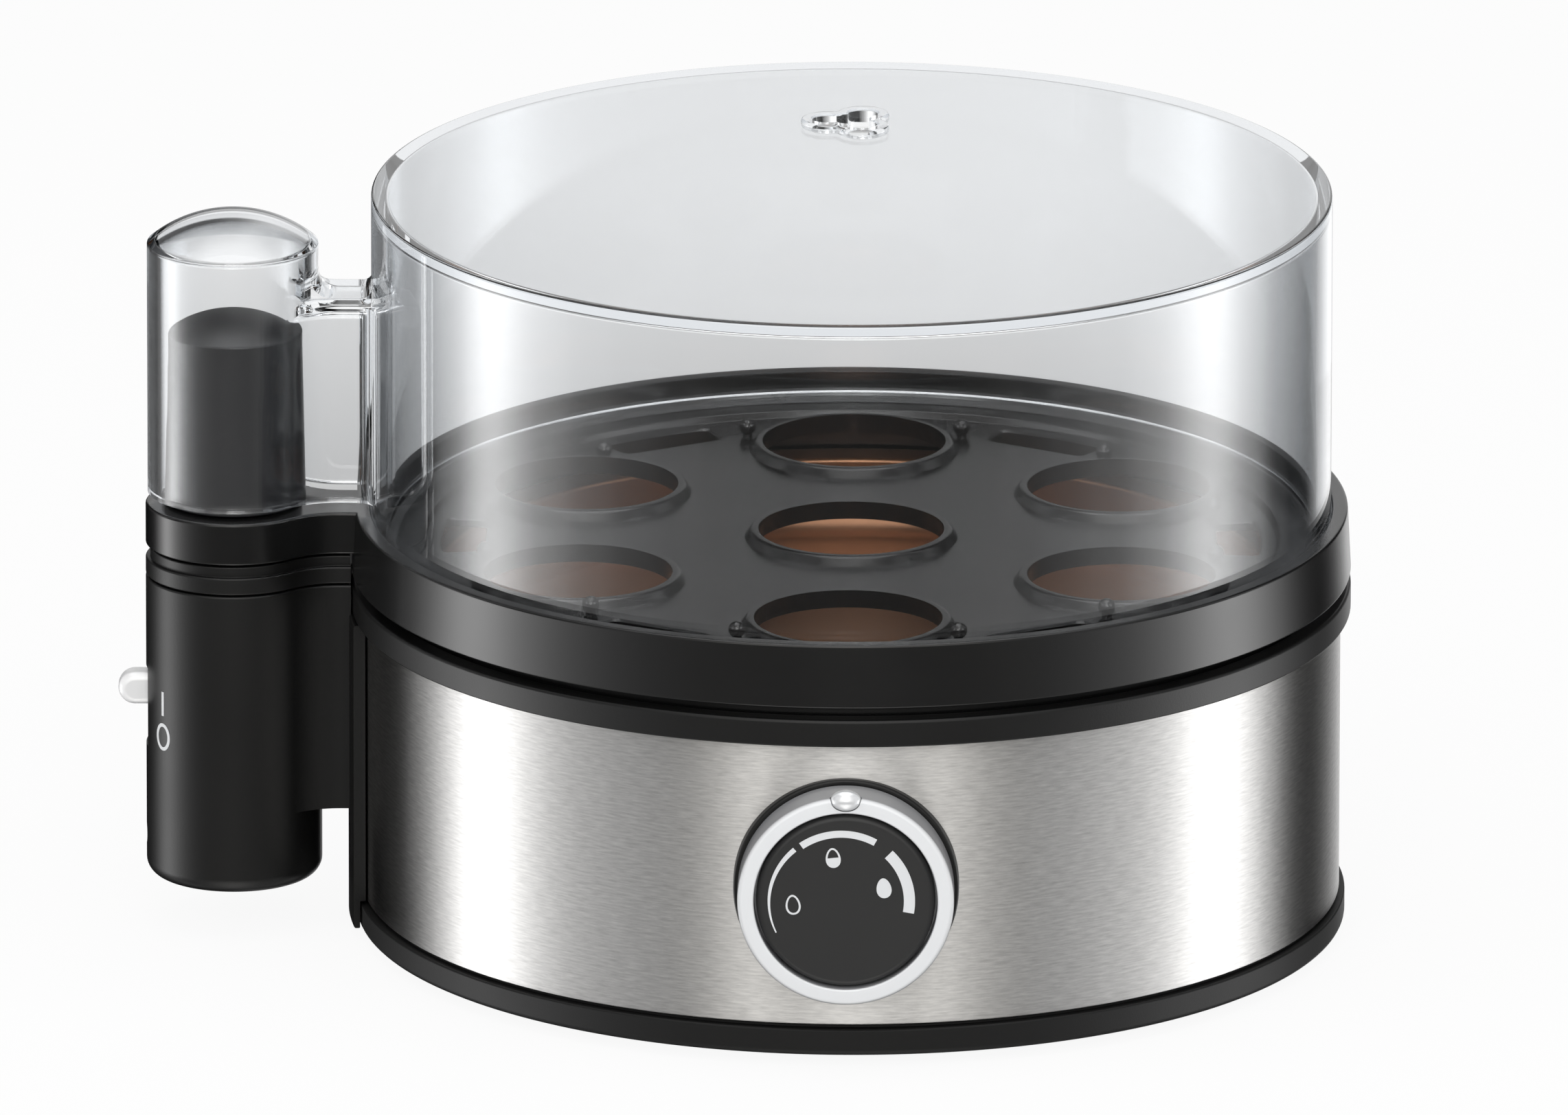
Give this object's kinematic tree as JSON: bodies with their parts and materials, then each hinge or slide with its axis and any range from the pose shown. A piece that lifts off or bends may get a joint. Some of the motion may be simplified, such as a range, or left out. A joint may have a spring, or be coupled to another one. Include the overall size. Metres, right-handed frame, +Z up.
{
  "type": "electric egg cooker",
  "caption": "Round egg cooker with steel-clad base, heated water bowl, lift-out egg carrier, clear lid with steam vent, side tower with a sliding switch, and a ring knob for the hardness.",
  "frame": {"origin": "on the drum's axis, in the plane of the base pan's flat underside, 2 mm above the soles of the feet", "axes": "+Z up, -Y towards the knob, -X towards the tower with the switch"},
  "size_m": [0.2186, 0.1865, 0.1355],
  "materials": {
    "black_plastic": "satin, fine texture",
    "grey_plastic": "satin",
    "clear_plastic": "clear, polished",
    "steel": "brushed round the drum",
    "plated_metal": "satin plated",
    "silver_paint": "pale pearl paint",
    "coated_aluminium": "copper-brown non-stick coating",
    "rubber": "matt",
    "board_green": "solder mask",
    "insulation": "matt"
  },
  "bodies": {
    "base": {"base_pan": "black_plastic", "upper_collar": "black_plastic", "steel_jacket": "steel", "tower_housing": "black_plastic", "tower_cap": "black_plastic", "switch_body": "black_plastic", "switch_bracket": "grey_plastic", "pilot_lamp_lens": "clear_plastic", "pilot_lamp": "clear_plastic", "heating_bowl": "coated_aluminium", "bowl_seal": "rubber", "heat_spreader": "plated_metal", "heating_element": "steel", "element_terminal_left": "plated_metal", "element_terminal_right": "plated_metal", "element_strap": "steel", "strap_nut": "plated_metal", "thermostat": "plated_metal", "thermal_fuse": "insulation", "temperature_sensor": "black_plastic", "cable_clamp": "black_plastic", "terminal_block": "insulation", "switch_wires": "rubber", "mains_wires": "rubber", "heater_wires": "insulation", "board_wires": "insulation", "knob_bezel": "black_plastic", "dial_disc": "black_plastic", "encoder": "grey_plastic", "dial_nut": "plated_metal", "control_board": "board_green", "relay": "black_plastic", "capacitor": "grey_plastic", "buzzer": "black_plastic", "cable_gland": "rubber", "foot_rear_right": "rubber", "case_screw_rear_right": "plated_metal", "foot_rear_left": "rubber", "case_screw_rear_left": "plated_metal", "foot_front_left": "rubber", "case_screw_front_left": "plated_metal", "foot_front_right": "rubber", "case_screw_front_right": "plated_metal", "tower_screw_lower": "plated_metal", "tower_screw_upper": "plated_metal", "board_screw_left": "plated_metal", "board_screw_right": "plated_metal"},
    "carrier": {"carrier": "grey_plastic", "grip_post": "grey_plastic", "grip_screw": "plated_metal"},
    "lid": {"lid": "clear_plastic"},
    "knob": {"knob_ring": "silver_paint", "pointer_nub": "silver_paint"},
    "switch": {"switch_lever": "plated_metal"}
  },
  "joints": [
    {"name": "carrier_lift", "type": "slide", "parent": "base", "child": "carrier", "axis": [0, 0, 1], "range_m": [0, 0.04]},
    {"name": "lid_lift", "type": "slide", "parent": "carrier", "child": "lid", "axis": [0, 0, 1], "range_m": [0, 0.06]},
    {"name": "knob_turn", "type": "hinge", "parent": "base", "child": "knob", "pos_m": [0, -0.0925, 0.0311], "axis": [0, 1, 0], "range_deg": [-115, 98]},
    {"name": "switch_slide", "type": "slide", "parent": "base", "child": "switch", "axis": [0, 0, -1], "range_m": [0, 0.006]}
  ]
}
